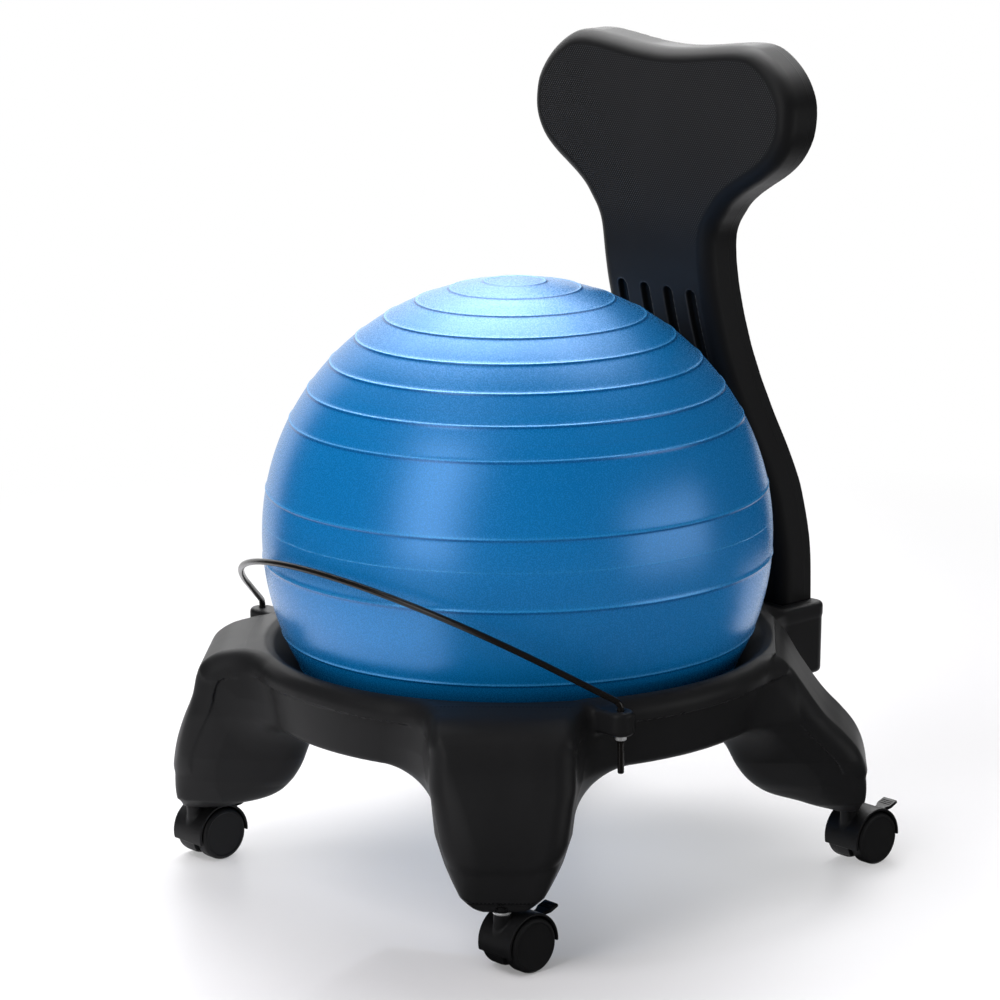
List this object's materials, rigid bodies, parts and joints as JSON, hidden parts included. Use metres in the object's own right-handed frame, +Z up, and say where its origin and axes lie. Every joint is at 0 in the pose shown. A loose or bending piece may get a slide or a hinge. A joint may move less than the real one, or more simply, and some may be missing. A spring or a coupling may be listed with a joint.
{
  "type": "balance ball chair",
  "caption": "Inflated exercise ball held in a moulded ring base with legs on braked twin-wheel casters, a bent steel restraint bar and an upright moulded backrest.",
  "frame": {"origin": "on the floor, under the middle of the whole chair's bounding box, casters trailing to +Y", "axes": "+Z up; +Y towards the backrest, so the sitter faces -Y; +X to the right of a person who stands in front of the chair and looks at it. Left and right in node names are -X and +X."},
  "size_m": [0.5402, 0.6006, 0.7869],
  "materials": {
    "base_plastic": "satin blow-moulded polyethylene, charcoal black",
    "backrest_plastic": "satin blow-moulded polyethylene with a fine moulded grain",
    "ball_vinyl": "satin blue vinyl with raised ribs",
    "plug_plastic": "pale soft plastic",
    "bar_coating": "gloss black powder coat",
    "zinc": "bright zinc plate",
    "brass": "plain brass",
    "caster_nylon": "satin black nylon",
    "wheel_nylon": "satin black nylon"
  },
  "bodies": {
    "base": {"base_frame": "base_plastic", "backrest": "backrest_plastic", "restraint_bar": "bar_coating", "bar_nut_left": "zinc", "backrest_washer_left": "zinc", "backrest_bolt_left": "zinc", "backrest_insert_left": "brass", "bar_nut_right": "zinc", "backrest_washer_right": "zinc", "backrest_bolt_right": "zinc", "backrest_insert_right": "brass", "caster_front_left_socket": "caster_nylon", "caster_front_left_collar": "zinc", "caster_front_right_socket": "caster_nylon", "caster_front_right_collar": "zinc", "caster_rear_left_socket": "caster_nylon", "caster_rear_left_collar": "zinc", "caster_rear_right_socket": "caster_nylon", "caster_rear_right_collar": "zinc"},
    "ball": {"ball": "ball_vinyl", "ball_valve_plug": "plug_plastic"},
    "front_left_fork": {"caster_front_left_stem": "zinc", "caster_front_left_hood": "caster_nylon", "caster_front_left_axle": "zinc", "caster_front_left_brake_pin": "zinc"},
    "front_left_wheel_left": {"caster_front_left_wheel_left": "wheel_nylon"},
    "front_left_wheel_right": {"caster_front_left_wheel_right": "wheel_nylon"},
    "front_left_brake": {"caster_front_left_brake_lever": "caster_nylon"},
    "front_right_fork": {"caster_front_right_stem": "zinc", "caster_front_right_hood": "caster_nylon", "caster_front_right_axle": "zinc", "caster_front_right_brake_pin": "zinc"},
    "front_right_wheel_left": {"caster_front_right_wheel_left": "wheel_nylon"},
    "front_right_wheel_right": {"caster_front_right_wheel_right": "wheel_nylon"},
    "front_right_brake": {"caster_front_right_brake_lever": "caster_nylon"},
    "rear_left_fork": {"caster_rear_left_stem": "zinc", "caster_rear_left_hood": "caster_nylon", "caster_rear_left_axle": "zinc", "caster_rear_left_brake_pin": "zinc"},
    "rear_left_wheel_left": {"caster_rear_left_wheel_left": "wheel_nylon"},
    "rear_left_wheel_right": {"caster_rear_left_wheel_right": "wheel_nylon"},
    "rear_left_brake": {"caster_rear_left_brake_lever": "caster_nylon"},
    "rear_right_fork": {"caster_rear_right_stem": "zinc", "caster_rear_right_hood": "caster_nylon", "caster_rear_right_axle": "zinc", "caster_rear_right_brake_pin": "zinc"},
    "rear_right_wheel_left": {"caster_rear_right_wheel_left": "wheel_nylon"},
    "rear_right_wheel_right": {"caster_rear_right_wheel_right": "wheel_nylon"},
    "rear_right_brake": {"caster_rear_right_brake_lever": "caster_nylon"}
  },
  "joints": [
    {"name": "ball_spin", "type": "hinge", "parent": "base", "child": "ball", "pos_m": [0, -0.03519, 0.33039], "axis": [0, 0, 1], "continuous": true},
    {"name": "front_left_swivel", "type": "hinge", "parent": "base", "child": "front_left_fork", "pos_m": [-0.225, -0.26019, 0.055], "axis": [0, 0, 1], "continuous": true},
    {"name": "front_left_wheel_left_roll", "type": "hinge", "parent": "front_left_fork", "child": "front_left_wheel_left", "pos_m": [-0.225, -0.24119, 0.0255], "axis": [1, 0, 0], "continuous": true},
    {"name": "front_left_wheel_right_roll", "type": "hinge", "parent": "front_left_fork", "child": "front_left_wheel_right", "pos_m": [-0.225, -0.24119, 0.0255], "axis": [1, 0, 0], "continuous": true},
    {"name": "front_left_brake_press", "type": "hinge", "parent": "front_left_fork", "child": "front_left_brake", "pos_m": [-0.225, -0.22464, 0.04205], "axis": [-1, 0, 0], "range_deg": [0, 18]},
    {"name": "front_right_swivel", "type": "hinge", "parent": "base", "child": "front_right_fork", "pos_m": [0.225, -0.26019, 0.055], "axis": [0, 0, 1], "continuous": true},
    {"name": "front_right_wheel_left_roll", "type": "hinge", "parent": "front_right_fork", "child": "front_right_wheel_left", "pos_m": [0.225, -0.24119, 0.0255], "axis": [1, 0, 0], "continuous": true},
    {"name": "front_right_wheel_right_roll", "type": "hinge", "parent": "front_right_fork", "child": "front_right_wheel_right", "pos_m": [0.225, -0.24119, 0.0255], "axis": [1, 0, 0], "continuous": true},
    {"name": "front_right_brake_press", "type": "hinge", "parent": "front_right_fork", "child": "front_right_brake", "pos_m": [0.225, -0.22464, 0.04205], "axis": [-1, 0, 0], "range_deg": [0, 18]},
    {"name": "rear_left_swivel", "type": "hinge", "parent": "base", "child": "rear_left_fork", "pos_m": [-0.225, 0.18981, 0.055], "axis": [0, 0, 1], "continuous": true},
    {"name": "rear_left_wheel_left_roll", "type": "hinge", "parent": "rear_left_fork", "child": "rear_left_wheel_left", "pos_m": [-0.225, 0.20881, 0.0255], "axis": [1, 0, 0], "continuous": true},
    {"name": "rear_left_wheel_right_roll", "type": "hinge", "parent": "rear_left_fork", "child": "rear_left_wheel_right", "pos_m": [-0.225, 0.20881, 0.0255], "axis": [1, 0, 0], "continuous": true},
    {"name": "rear_left_brake_press", "type": "hinge", "parent": "rear_left_fork", "child": "rear_left_brake", "pos_m": [-0.225, 0.22536, 0.04205], "axis": [-1, 0, 0], "range_deg": [0, 18]},
    {"name": "rear_right_swivel", "type": "hinge", "parent": "base", "child": "rear_right_fork", "pos_m": [0.225, 0.18981, 0.055], "axis": [0, 0, 1], "continuous": true},
    {"name": "rear_right_wheel_left_roll", "type": "hinge", "parent": "rear_right_fork", "child": "rear_right_wheel_left", "pos_m": [0.225, 0.20881, 0.0255], "axis": [1, 0, 0], "continuous": true},
    {"name": "rear_right_wheel_right_roll", "type": "hinge", "parent": "rear_right_fork", "child": "rear_right_wheel_right", "pos_m": [0.225, 0.20881, 0.0255], "axis": [1, 0, 0], "continuous": true},
    {"name": "rear_right_brake_press", "type": "hinge", "parent": "rear_right_fork", "child": "rear_right_brake", "pos_m": [0.225, 0.22536, 0.04205], "axis": [-1, 0, 0], "range_deg": [0, 18]}
  ]
}
